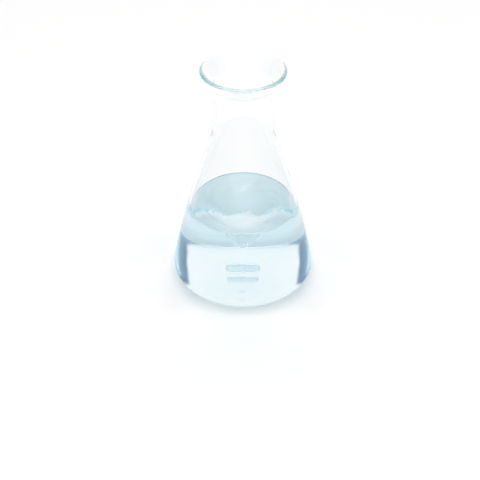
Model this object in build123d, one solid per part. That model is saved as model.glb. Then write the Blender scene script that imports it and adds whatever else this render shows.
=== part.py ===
from build123d import *
import math
import os

# A 250 ml narrow-neck Erlenmeyer flask with a flared rim, charged with water that a magnetic stir bar whirls.
#
# Frame: millimetres, +Z up along the flask's axis, with the origin at the centre of the plane it stands on.
# The flask is one blown wall of borosilicate glass. The water lies a running gap inside it, with a funnel in
# its free surface. The stir bar is a bar magnet sealed in a PTFE jacket. It spins on its pivot ring, at the
# crown of the flask's floor, and lies along X at rest.
#
# Every round shape is a section of (radius, height, fillet) corners, turned once about the axis.

SHARP = 0.0  # the fillet of a corner that stays sharp

# --- flask: outer shape
TOTAL_HEIGHT = 140.0
BODY_RADIUS = 42.5
HEEL_FILLET = 9.3
LOWER_TAPER = 12.8  # degrees that the wall leans in, below the belly
UPPER_TAPER = 18.0  # degrees that the wall leans in, above the belly
BELLY_HEIGHT = 55.0
BELLY_FILLET = 700.0
SHOULDER_FILLET = 17.0
NECK_RADIUS = 17.8
FLARE_START = 130.0
FLARE_FILLET = 0.8
RIM_RADIUS = 24.0
BEAD_RADIUS = 1.25

# --- flask: wall
BODY_WALL = 1.6
NECK_WALL = 1.5
LIP_RISE = 0.8  # how much higher the flare starts on the inside, so that its wall thickens into the bead
LIP_FILLET = 2.5
FLOOR_WALL = 2.4
STAND_RING_INNER = 23.0  # the underside is flat on the table from here out to the heel
PUSH_UP = 1.5  # height of the underside's crown above the table
CROWN_RADIUS = 7.0
FLOOR_FILLET = 40.0

# --- water
WATER_GAP = 0.15
FUNNEL_BRIM = (BODY_RADIUS, 54.9, SHARP)  # past the wall, which the surface meets 51.3 up
FUNNEL_LIP = (20.0, 47.5, 30.0)
FUNNEL_THROAT = (6.5, 29.0, 14.0)
FUNNEL_TIP = (0.0, 22.5, SHARP)

# --- stir bar
BAR_LENGTH = 15.0
BAR_RADIUS = 2.25
BAR_END_FILLET = 1.9
RING_RADIUS = 2.65
RING_WIDTH = 1.8
RING_FILLET = 0.3
MAGNET_LENGTH = 11.5
MAGNET_RADIUS = 1.5
MAGNET_CHAMFER = 0.3
BAR_FILM = 0.15  # film of water that the pivot ring rides on
SWEEP_GAP = 0.4  # between the spinning bar and the recess that it sweeps in the water

BAR_AXIS = PUSH_UP + FLOOR_WALL + BAR_FILM + RING_RADIUS  # height of the stir bar's own axis


def section(corners):
    """The filled outline through a list of corners."""
    points = [(radius, height) for radius, height, _ in corners]
    fillets = [fillet for _, _, fillet in corners]
    return make_face(FilletPolyline(*points, radius=fillets, close=True))


def turned(flat):
    """A section turned once about Z."""
    return revolve(Plane.XZ * flat, Axis.Z, 360)


def wall_radius(inset, height):
    """Radius of the wall's lower leg at a height, this far into the glass from its outer face."""
    lean = math.radians(LOWER_TAPER)
    foot = BODY_RADIUS - HEEL_FILLET + HEEL_FILLET * (1 + math.sin(lean)) / math.cos(lean)
    return foot - inset / math.cos(lean) - height * math.tan(lean)


def floor_line(lift):
    """Corners of the pushed-up floor, lifted above the underside, from the centre outwards."""
    return [
        (0, PUSH_UP + lift, SHARP),
        (CROWN_RADIUS, PUSH_UP + lift, FLOOR_FILLET),
        (STAND_RING_INNER, lift, FLOOR_FILLET),
    ]


def body_line(inset, foot, neck):
    """Corners from the heel, whose foot is at a height, up to the neck, which has a radius."""
    lean = math.radians(UPPER_TAPER)
    belly = wall_radius(inset, BELLY_HEIGHT)
    shoulder = BELLY_HEIGHT + (wall_radius(0, BELLY_HEIGHT) - inset / math.cos(lean) - neck) / math.tan(lean)
    return [
        (wall_radius(inset, foot), foot, HEEL_FILLET - inset),
        (belly, BELLY_HEIGHT, BELLY_FILLET - inset),
        (neck, shoulder, SHOULDER_FILLET + inset),
    ]


def flare_line(corner, bead, side):
    """From a corner on the neck to where the outer (side 1) or inner (side -1) face touches the bead."""
    across, up = bead[0] - corner[0], bead[1] - corner[1]
    heading = math.atan2(up, across) - side * math.asin(BEAD_RADIUS / math.hypot(across, up))
    facing = heading - side * math.pi / 2
    touch = (bead[0] + BEAD_RADIUS * math.cos(facing), bead[1] + BEAD_RADIUS * math.sin(facing))
    return [corner, (*touch, SHARP)]


def flask_glass():
    """One wall: underside, outer face up to the rim's bead, and the inner face back down to the floor."""
    bore = NECK_RADIUS - NECK_WALL
    bead = (RIM_RADIUS - BEAD_RADIUS, TOTAL_HEIGHT - BEAD_RADIUS)
    outer = body_line(0, 0, NECK_RADIUS) + flare_line((NECK_RADIUS, FLARE_START, FLARE_FILLET), bead, 1)
    inner = body_line(BODY_WALL, FLOOR_WALL, bore)
    inner += flare_line((bore, FLARE_START + LIP_RISE, LIP_FILLET), bead, -1)
    wall = section(floor_line(0) + outer + inner[::-1] + floor_line(FLOOR_WALL)[::-1])
    return turned(wall + Pos(*bead) * Circle(BEAD_RADIUS))


def water():
    """The water, with the funnel in its surface and the recess that the spinning bar sweeps."""
    inset = BODY_WALL + WATER_GAP
    lift = FLOOR_WALL + WATER_GAP
    bore = NECK_RADIUS - inset
    neck = [(bore, FLARE_START, SHARP), (0, FLARE_START, SHARP)]
    inside = section(floor_line(lift) + body_line(inset, lift, bore) + neck)
    air = section([
        (0, TOTAL_HEIGHT, SHARP),
        (BODY_RADIUS, TOTAL_HEIGHT, SHARP),
        FUNNEL_BRIM,
        FUNNEL_LIP,
        FUNNEL_THROAT,
        FUNNEL_TIP,
    ])
    sweep = Circle(BAR_LENGTH / 2 + SWEEP_GAP)
    recess = extrude(sweep, BAR_AXIS + RING_RADIUS + SWEEP_GAP)
    return turned(inside - air) - recess


def magnet():
    rod = Cylinder(MAGNET_RADIUS, MAGNET_LENGTH)
    rod = chamfer(rod.edges().filter_by(GeomType.CIRCLE), MAGNET_CHAMFER)
    return Pos(0, 0, BAR_AXIS) * Rot(0, 90, 0) * rod


def jacket():
    """The PTFE jacket with its pivot ring, hollow where the magnet is."""
    rod = Cylinder(BAR_RADIUS, BAR_LENGTH)
    rod = fillet(rod.edges().filter_by(GeomType.CIRCLE), BAR_END_FILLET)
    ring = Cylinder(RING_RADIUS, RING_WIDTH)
    ring = fillet(ring.edges().filter_by(GeomType.CIRCLE), RING_FILLET)
    return Pos(0, 0, BAR_AXIS) * Rot(0, 90, 0) * (rod + ring) - magnet()


NODES = {
    "flask_glass": flask_glass,
    "water": water,
    "stir_bar_jacket": jacket,
    "stir_bar_magnet": magnet,
}

os.makedirs("parts", exist_ok=True)
for name, make in NODES.items():
    export_step(make(), f"parts/{name}.step")
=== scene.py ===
"""An Erlenmeyer flask of stirred water, dressed round its CAD frame.

Sizes are in millimetres until a mesh is made. The stage is in metres.
"""
import math

import bpy
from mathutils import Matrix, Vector, noise


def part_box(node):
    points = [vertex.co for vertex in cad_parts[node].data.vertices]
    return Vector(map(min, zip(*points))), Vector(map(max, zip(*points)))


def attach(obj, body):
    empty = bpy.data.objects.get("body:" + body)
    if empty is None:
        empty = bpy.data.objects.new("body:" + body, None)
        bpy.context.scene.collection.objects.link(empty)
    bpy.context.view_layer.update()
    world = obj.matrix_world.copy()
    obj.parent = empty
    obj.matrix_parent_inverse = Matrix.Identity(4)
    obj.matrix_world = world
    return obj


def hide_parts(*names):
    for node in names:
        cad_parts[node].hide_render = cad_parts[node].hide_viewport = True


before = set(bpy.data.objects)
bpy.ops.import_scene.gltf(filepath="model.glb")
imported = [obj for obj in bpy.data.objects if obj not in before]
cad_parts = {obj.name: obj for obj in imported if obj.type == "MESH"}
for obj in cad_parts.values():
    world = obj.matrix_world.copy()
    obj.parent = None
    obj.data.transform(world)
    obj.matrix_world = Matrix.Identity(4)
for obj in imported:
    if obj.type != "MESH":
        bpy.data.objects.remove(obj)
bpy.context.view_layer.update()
glass_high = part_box("flask_glass")[1]

MM = 0.001

# --- flask, as its CAD solid has it
TOTAL_HEIGHT = glass_high[2] / MM
BODY_RADIUS = glass_high[0] / MM
HEEL_FILLET = 9.3
LOWER_TAPER = math.radians(12.8)
UPPER_TAPER = math.radians(18.0)
BELLY_HEIGHT = 55.0
BELLY_FILLET = 700.0
SHOULDER_FILLET = 17.0
NECK_RADIUS = 17.8
FLARE_START = 130.0
LIP_RISE = 0.8  # how much higher the flare starts on the inside, so that its wall thickens into the bead
FLARE_FILLET = 0.8
LIP_FILLET = 2.5
RIM_RADIUS = 24.0
BEAD_RADIUS = 1.25
BODY_WALL = 1.6
NECK_WALL = 1.5
FLOOR_WALL = 2.4
STAND_RING_INNER = 23.0
PUSH_UP = 1.5
CROWN_RADIUS = 7.0
FLOOR_FILLET = 40.0

# --- the inner wall's unevenness, which fades out upwards
WAVE_DEPTH = 0.05
WAVE_LENGTH = 14.0
WAVE_TOP = 95.0
WAVE_FADE = 20.0

# --- water
WETTING = 0.12  # how far the water's mesh reaches into the glass, so that no air is between them
WATER_LEVEL = 51.4
FUNNEL_DEPTH = 33.5
FUNNEL_WIDTH = 12.5
MENISCUS_RISE = 0.2
MENISCUS_REACH = 1.2
CALM_EDGE = 12.0  # how far from the wall, and from the axis, the surface is still partly smooth
CALM_CENTRE = 3.0
SPIRAL_ARMS = 3
SPIRAL_PITCH = 7.0
SPIRAL_CORE = 6.0
SPIRAL_PHASE = 3.6
RIPPLE_HEIGHT = 0.55
RIPPLE_RADIUS = 14.0
RIPPLE_SPREAD = 7.0
TWIST_RADIUS = 9.0  # churned patches are dragged one radian round for each such step outwards
SWELL_HEIGHT = 0.5
SWELL_LENGTH = 9.0
CHOP_HEIGHT = 0.25
CHOP_LENGTH = 3.0
CHOP_RADIUS = 7.0
CHOP_SPREAD = 5.0
SURFACE_RINGS = 110
RING_CROWDING = 1.25  # above 1, the surface's rings lie closer together at the axis
EDGE_MARGIN = 0.2  # the wall's last ring is at least this far below the water's level

AROUND = 256  # points round each turned piece


def vector(angle):
    return Vector((math.cos(angle), math.sin(angle)))


def arc(centre, radius, start, turn, step=math.radians(7), reach=1.6):
    """Points on an arc, close enough both in angle and in length."""
    count = max(2, math.ceil(abs(turn) / step), math.ceil(abs(turn) * radius / reach))
    return [centre + radius * vector(start + turn * i / count) for i in range(count + 1)]


def rounded(corners):
    """Points along (radius, height, fillet) corners, with an arc at each fillet."""
    points = [Vector(corners[0][:2])]
    for before, here, after in zip(corners, corners[1:], corners[2:]):
        place = Vector(here[:2])
        arriving = (place - Vector(before[:2])).normalized()
        leaving = (Vector(after[:2]) - place).normalized()
        turn = math.atan2(arriving.x * leaving.y - arriving.y * leaving.x, arriving.dot(leaving))
        if not here[2]:
            points.append(place)
            continue
        side = math.copysign(1, turn)
        across = Vector((-arriving.y, arriving.x)) * side
        start = place - arriving * here[2] * math.tan(abs(turn) / 2)
        centre = start + across * here[2]
        points += arc(centre, here[2], math.atan2(-across.y, -across.x), turn)
    points.append(Vector(corners[-1][:2]))
    return points


def divided(points, longest=2.0):
    """The same line, with no stretch longer than this."""
    line = [points[0]]
    for start, end in zip(points, points[1:]):
        if (end - start).length < 1e-4:
            continue
        count = math.ceil((end - start).length / longest)
        line += [start.lerp(end, (i + 1) / count) for i in range(count)]
    return line


def wall_radius(inset, height):
    """Radius of the lower body's straight side at a height, this far inside its outer face."""
    foot = BODY_RADIUS - HEEL_FILLET + HEEL_FILLET * (1 + math.sin(LOWER_TAPER)) / math.cos(LOWER_TAPER)
    return foot - inset / math.cos(LOWER_TAPER) - height * math.tan(LOWER_TAPER)


def floor_line(lift):
    """Corners of the pushed-up floor, from the axis out to the stand ring."""
    crown = PUSH_UP + lift
    return [(0, crown, 0), (CROWN_RADIUS, crown, FLOOR_FILLET), (STAND_RING_INNER, lift, FLOOR_FILLET)]


def body_line(inset, foot, neck):
    """Corners of the body from the heel up to the neck, whose radius is given."""
    belly = wall_radius(inset, BELLY_HEIGHT)
    run = wall_radius(0, BELLY_HEIGHT) - inset / math.cos(UPPER_TAPER) - neck
    return [
        (wall_radius(inset, foot), foot, HEEL_FILLET - inset),
        (belly, BELLY_HEIGHT, BELLY_FILLET - inset),
        (neck, BELLY_HEIGHT + run / math.tan(UPPER_TAPER), SHOULDER_FILLET + inset),
    ]


def tangent(corner, bead, side):
    """Angle at which a line from a corner touches the bead, on its outer (side 1) or inner (side -1) face."""
    towards = bead - Vector(corner)
    heading = math.atan2(towards.y, towards.x) - side * math.asin(BEAD_RADIUS / towards.length)
    return heading - side * math.pi / 2


def glass_outline():
    """The outer face with the rim's bead, and the inner face from the floor's centre up to the bead."""
    bore = NECK_RADIUS - NECK_WALL
    bead = Vector((RIM_RADIUS - BEAD_RADIUS, TOTAL_HEIGHT - BEAD_RADIUS))
    outer_angle = tangent((NECK_RADIUS, FLARE_START), bead, 1)
    inner_angle = tangent((bore, FLARE_START + LIP_RISE), bead, -1)
    rim = arc(bead, BEAD_RADIUS, outer_angle, inner_angle - outer_angle)
    outer = floor_line(0) + body_line(0, 0, NECK_RADIUS)
    outer += [(NECK_RADIUS, FLARE_START, FLARE_FILLET), (*rim[0], 0)]
    inner = floor_line(FLOOR_WALL) + body_line(BODY_WALL, FLOOR_WALL, bore)
    inner += [(bore, FLARE_START + LIP_RISE, LIP_FILLET), (*rim[-1], 0)]
    return divided(rounded(outer) + rim), divided(rounded(inner))[::-1]


def turned(name, rings, low_pole, high_pole):
    """A closed mesh from rings of AROUND points each, with a pole at each end."""
    places = [low_pole] + [p for ring in rings for p in ring] + [high_pole]
    faces = []
    for i in range(AROUND):
        j = (i + 1) % AROUND
        faces.append((0, 1 + j, 1 + i))
        for k in range(len(rings) - 1):
            below = 1 + k * AROUND
            above = below + AROUND
            faces.append((below + i, below + j, above + j, above + i))
        last = 1 + (len(rings) - 1) * AROUND
        faces.append((last + i, last + j, len(places) - 1))
    mesh = bpy.data.meshes.new(name)
    mesh.from_pydata([tuple(c * MM for c in p) for p in places], [], faces)
    mesh.polygons.foreach_set("use_smooth", [True] * len(mesh.polygons))
    piece = bpy.data.objects.new(name, mesh)
    bpy.context.collection.objects.link(piece)
    return piece


def spun(radius, height):
    """A level ring of points."""
    angles = [2 * math.pi * i / AROUND for i in range(AROUND)]
    return [(radius * math.cos(a), radius * math.sin(a), height) for a in angles]


def waved(ring, depth, scale):
    """A ring pushed in and out by a smooth, slow wave, as hand-worked glass is."""
    out = []
    for x, y, z in ring:
        push = depth * noise.noise(Vector((x, y, z)) / scale)
        radius = math.hypot(x, y)
        out.append((x * (1 + push / radius), y * (1 + push / radius), z))
    return out


def make_flask():
    outer, inner = glass_outline()
    rings = [spun(p.x, p.y) for p in outer[1:]]
    for point in inner[1:-1]:
        share = min(1, max(0, (WAVE_TOP - point.y) / WAVE_FADE))
        rings.append(waved(spun(point.x, point.y), WAVE_DEPTH * share, WAVE_LENGTH))
    return turned("flask", rings, (0, 0, outer[0].y), (0, 0, inner[-1].y))


def funnel_dip(radius):
    return FUNNEL_DEPTH / (1 + (radius / FUNNEL_WIDTH) ** 2)


def ring_share(radius, middle, spread):
    """1 at the middle radius, and less with distance from it."""
    return math.exp(-((radius - middle) / spread) ** 2)


def surface_height(radius, angle, edge):
    """Height of the whirling water's free surface."""
    lively = min(1, (edge - radius) / CALM_EDGE) * min(1, radius / CALM_CENTRE)
    spiral = angle * SPIRAL_ARMS + SPIRAL_PITCH * math.log(1 + radius / SPIRAL_CORE) + SPIRAL_PHASE
    ripple = RIPPLE_HEIGHT * math.sin(spiral) * ring_share(radius, RIPPLE_RADIUS, RIPPLE_SPREAD)
    twisted = angle + radius / TWIST_RADIUS
    place = Vector((radius * math.cos(twisted), radius * math.sin(twisted), 0))
    swell = SWELL_HEIGHT * noise.noise(place / SWELL_LENGTH)
    chop = CHOP_HEIGHT * noise.noise(place / CHOP_LENGTH) * ring_share(radius, CHOP_RADIUS, CHOP_SPREAD)
    meniscus = MENISCUS_RISE * math.exp((radius - edge) / MENISCUS_REACH)
    base = WATER_LEVEL - MENISCUS_RISE - funnel_dip(radius) + funnel_dip(edge)
    return base + lively * (ripple + swell + chop) + meniscus


def make_water():
    corners = floor_line(FLOOR_WALL - WETTING)
    corners += body_line(BODY_WALL - WETTING, FLOOR_WALL - WETTING, NECK_RADIUS - NECK_WALL + WETTING)
    wetted = [p for p in divided(rounded(corners)) if p.y < WATER_LEVEL - EDGE_MARGIN]
    edge = wetted[-1].x - (WATER_LEVEL - wetted[-1].y) * math.tan(UPPER_TAPER)
    rings = [spun(p.x, p.y) for p in wetted[1:]]
    for i in range(SURFACE_RINGS + 1):
        radius = edge * (1 - i / (SURFACE_RINGS + 1)) ** RING_CROWDING
        ring = spun(radius, 0)
        rings.append([(x, y, surface_height(radius, math.atan2(y, x), edge)) for x, y, _ in ring])
    return turned("stirred_water", rings, (0, 0, wetted[0].y), (0, 0, surface_height(0, 0, edge)))


# --- materials

def new_material(name):
    material = bpy.data.materials.new(name)
    material.use_nodes = True
    tree = material.node_tree
    return material, tree, tree.nodes["Principled BSDF"], tree.nodes["Material Output"]


def add_node(tree, kind, **inputs):
    node = tree.nodes.new(kind)
    for name, value in inputs.items():
        node.inputs[name].default_value = value
    return node


def bump(tree, shader, scale, distance, detail=2.0):
    """A fine unevenness from noise in the object's own space."""
    place = add_node(tree, "ShaderNodeTexCoord")
    grain = add_node(tree, "ShaderNodeTexNoise", Scale=scale, Detail=detail)
    tree.links.new(place.outputs["Object"], grain.inputs["Vector"])
    node = add_node(tree, "ShaderNodeBump", Strength=1.0, Distance=distance)
    tree.links.new(grain.outputs["Fac"], node.inputs["Height"])
    tree.links.new(node.outputs["Normal"], shader.inputs["Normal"])
    return grain


def clear_material(name, ior, tint, density):
    """A clear, smooth material that colours what passes through it."""
    material, tree, shader, output = new_material(name)
    shader.inputs["Base Color"].default_value = (1, 1, 1, 1)
    shader.inputs["Roughness"].default_value = 0.0
    shader.inputs["IOR"].default_value = ior
    shader.inputs["Transmission Weight"].default_value = 1.0
    absorption = add_node(tree, "ShaderNodeVolumeAbsorption", Color=(*tint, 1), Density=density)
    tree.links.new(absorption.outputs["Volume"], output.inputs["Volume"])
    return material, tree, shader


def glass_material():
    material, tree, shader = clear_material("borosilicate_glass", 1.473, tint=(0.0, 0.80, 0.74), density=0.8)
    bump(tree, shader, scale=60, distance=0.00001)
    return material


def water_material():
    material, tree, shader = clear_material("aqua_water", 1.333, tint=(0.0, 0.58, 0.75), density=5.0)
    bump(tree, shader, scale=180, distance=0.00002)
    return material


def ptfe_material():
    material, tree, shader, _ = new_material("ptfe")
    shader.inputs["Roughness"].default_value = 0.38
    shader.inputs["IOR"].default_value = 1.35
    shader.inputs["Subsurface Weight"].default_value = 0.2
    shader.inputs["Subsurface Scale"].default_value = 0.002
    grain = bump(tree, shader, scale=900, distance=0.00003, detail=4.0)
    ramp = add_node(tree, "ShaderNodeValToRGB")
    ramp.color_ramp.elements[0].color = (0.95, 0.96, 0.96, 1)
    ramp.color_ramp.elements[1].color = (0.99, 0.99, 0.985, 1)
    tree.links.new(grain.outputs["Fac"], ramp.inputs["Fac"])
    tree.links.new(ramp.outputs["Color"], shader.inputs["Base Color"])
    return material


def magnet_material():
    material, tree, shader, _ = new_material("magnet_alloy")
    shader.inputs["Base Color"].default_value = (0.32, 0.32, 0.33, 1)
    shader.inputs["Metallic"].default_value = 1.0
    shader.inputs["Roughness"].default_value = 0.42
    bump(tree, shader, scale=2500, distance=0.00002, detail=4.0)
    return material


def floor_material():
    material, tree, shader, _ = new_material("pale_floor")
    shader.inputs["Base Color"].default_value = (0.831, 0.836, 0.822, 1)
    shader.inputs["Roughness"].default_value = 0.6
    bump(tree, shader, scale=300, distance=0.00002)
    return material


# --- stage, light and camera

FLOOR_SIZE = 12.0
FLOOR_DROP = 0.0002  # keeps a layer of air under the flask

LAMP_SIZE = 1.3
LAMP_TARGET = (0.0, 0.0, 0.06)

STUDIO_WHITE = (1.28, 1.13, 1.09, 1)
HORIZON_COLOUR = (0.93, 0.95, 0.96, 1)
FRONT_COLOUR = (1.02, 1.02, 1.03, 1)
SIDE_COLOUR = (0.02, 0.60, 0.80, 1)
CARD_COLOUR = (0.0, 0.12, 0.30, 1)

# Where one part of the studio runs into the next.
BELT_FOOT = (0.17, 0.24)  # sine of the elevation at which the belt of colour begins
BELT_TOP = (0.9, 0.75)  # and ends
SIDE_TOP = (0.50, 0.42)  # the same for the sides' part in front
CARD_START = (0.60, 0.70)  # sine of the angle off the back wall's middle
SIDE_START = (0.85, 0.93)
BACK_HALF = (0.05, 0.15)  # how far the direction points to the back
FRONT_HALF = (-0.05, -0.15)

CAMERA_PLACE = (-0.0018, -0.511, 0.418)
CAMERA_TILT = math.radians(37.76)  # below the level
CAMERA_LENS = 79.2
CAMERA_SENSOR = 36.0

CLEAR_BOUNCES = 300  # light inside the wall meets its two faces many times on the way to the rim


def add_floor():
    bpy.ops.mesh.primitive_plane_add(size=FLOOR_SIZE, location=(0, 0, -FLOOR_DROP))
    floor = bpy.context.object
    floor.name = "floor"
    floor.data.materials.append(floor_material())


def add_lamp(name, height, watts, through_glass):
    """A round white lamp above the flask, which light that has passed through glass may not find."""
    light = bpy.data.lights.new(name, "AREA")
    light.shape = "DISK"
    light.size = LAMP_SIZE
    light.energy = watts
    lamp = bpy.data.objects.new(name, light)
    lamp.location = (0.0, 0.0, height)
    lamp.rotation_euler = (Vector(LAMP_TARGET) - lamp.location).to_track_quat("-Z", "Y").to_euler()
    lamp.visible_transmission = through_glass
    bpy.context.collection.objects.link(lamp)


def span(tree, source, low, high):
    """Runs smoothly from 0 to 1 while a value runs from low to high."""
    node = add_node(tree, "ShaderNodeMapRange", **{"From Min": low, "From Max": high})
    node.interpolation_type = "SMOOTHSTEP"
    tree.links.new(source, node.inputs["Value"])
    return node.outputs["Result"]


def maths(tree, operation, *values):
    """One arithmetic node, whose values are numbers or sockets."""
    node = tree.nodes.new("ShaderNodeMath")
    node.operation = operation
    for socket, value in zip(node.inputs, values):
        if isinstance(value, (int, float)):
            socket.default_value = value
        else:
            tree.links.new(value, socket)
    return node.outputs["Value"]


def blended(tree, factor, first, second):
    """The first colour at factor 0 and the second at 1. Both are colours or sockets."""
    node = tree.nodes.new("ShaderNodeMix")
    node.data_type = "RGBA"
    tree.links.new(factor, node.inputs["Factor"])
    for socket, colour in ((node.inputs[6], first), (node.inputs[7], second)):
        if isinstance(colour, tuple):
            socket.default_value = colour
        else:
            tree.links.new(colour, socket)
    return node.outputs[2]


def add_world():
    """A white studio with a dimmer horizon, blue above it on both sides, and two slate cards behind."""
    world = bpy.data.worlds.new("studio")
    world.use_nodes = True
    tree = world.node_tree
    place = tree.nodes.new("ShaderNodeTexCoord")
    axes = tree.nodes.new("ShaderNodeSeparateXYZ")
    tree.links.new(place.outputs["Generated"], axes.inputs["Vector"])
    height = axes.outputs["Z"]
    level = maths(tree, "SQRT", maths(tree, "SUBTRACT", 1.0, maths(tree, "POWER", height, 2.0)))
    aside = maths(tree, "DIVIDE", maths(tree, "ABSOLUTE", axes.outputs["X"]), level)
    back = span(tree, axes.outputs["Y"], *BACK_HALF)
    belt = maths(tree, "MULTIPLY", span(tree, height, *BELT_FOOT), span(tree, height, *BELT_TOP))
    front = maths(tree, "MULTIPLY", belt, span(tree, axes.outputs["Y"], *FRONT_HALF))
    card = maths(tree, "MULTIPLY", maths(tree, "MULTIPLY", belt, span(tree, aside, *CARD_START)), back)
    kept = maths(tree, "MAXIMUM", back, span(tree, height, *SIDE_TOP))
    side = maths(tree, "MULTIPLY", belt, maths(tree, "MULTIPLY", span(tree, aside, *SIDE_START), kept))
    shade = blended(tree, span(tree, height, *BELT_FOOT[::-1]), STUDIO_WHITE, HORIZON_COLOUR)
    shade = blended(tree, front, shade, FRONT_COLOUR)
    shade = blended(tree, card, shade, CARD_COLOUR)
    shade = blended(tree, side, shade, SIDE_COLOUR)
    tree.links.new(shade, tree.nodes["Background"].inputs["Color"])
    tree.nodes["Background"].inputs["Strength"].default_value = 1.0
    bpy.context.scene.world = world


def add_camera():
    camera = bpy.data.cameras.new("camera")
    camera.lens = CAMERA_LENS
    camera.sensor_width = CAMERA_SENSOR
    view = bpy.data.objects.new("camera", camera)
    view.location = CAMERA_PLACE
    view.rotation_euler = (math.radians(90) - CAMERA_TILT, 0, 0)
    bpy.context.collection.objects.link(view)
    bpy.context.scene.camera = view


def set_look():
    scene = bpy.context.scene
    scene.view_settings.view_transform = "Standard"
    scene.cycles.max_bounces = CLEAR_BOUNCES
    scene.cycles.transmission_bounces = CLEAR_BOUNCES
    scene.cycles.blur_glossy = 0.0
    scene.cycles.glossy_bounces = CLEAR_BOUNCES
    scene.cycles.diffuse_bounces = 4


set_look()
add_camera()
add_world()
# The flask would focus the stronger lamp into its own shadow, so that one doesn't light through glass.
add_lamp("overhead", height=1.4, watts=3.6, through_glass=False)
add_lamp("overhead_fill", height=1.45, watts=2.6, through_glass=True)
add_floor()

flask = make_flask()
flask.data.materials.append(glass_material())
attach(flask, "flask")
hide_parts("flask_glass")

water = make_water()
water.data.materials.append(water_material())
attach(water, "water")
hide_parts("water")

for node, material in (("stir_bar_jacket", ptfe_material()), ("stir_bar_magnet", magnet_material())):
    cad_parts[node].material_slots[0].material = material
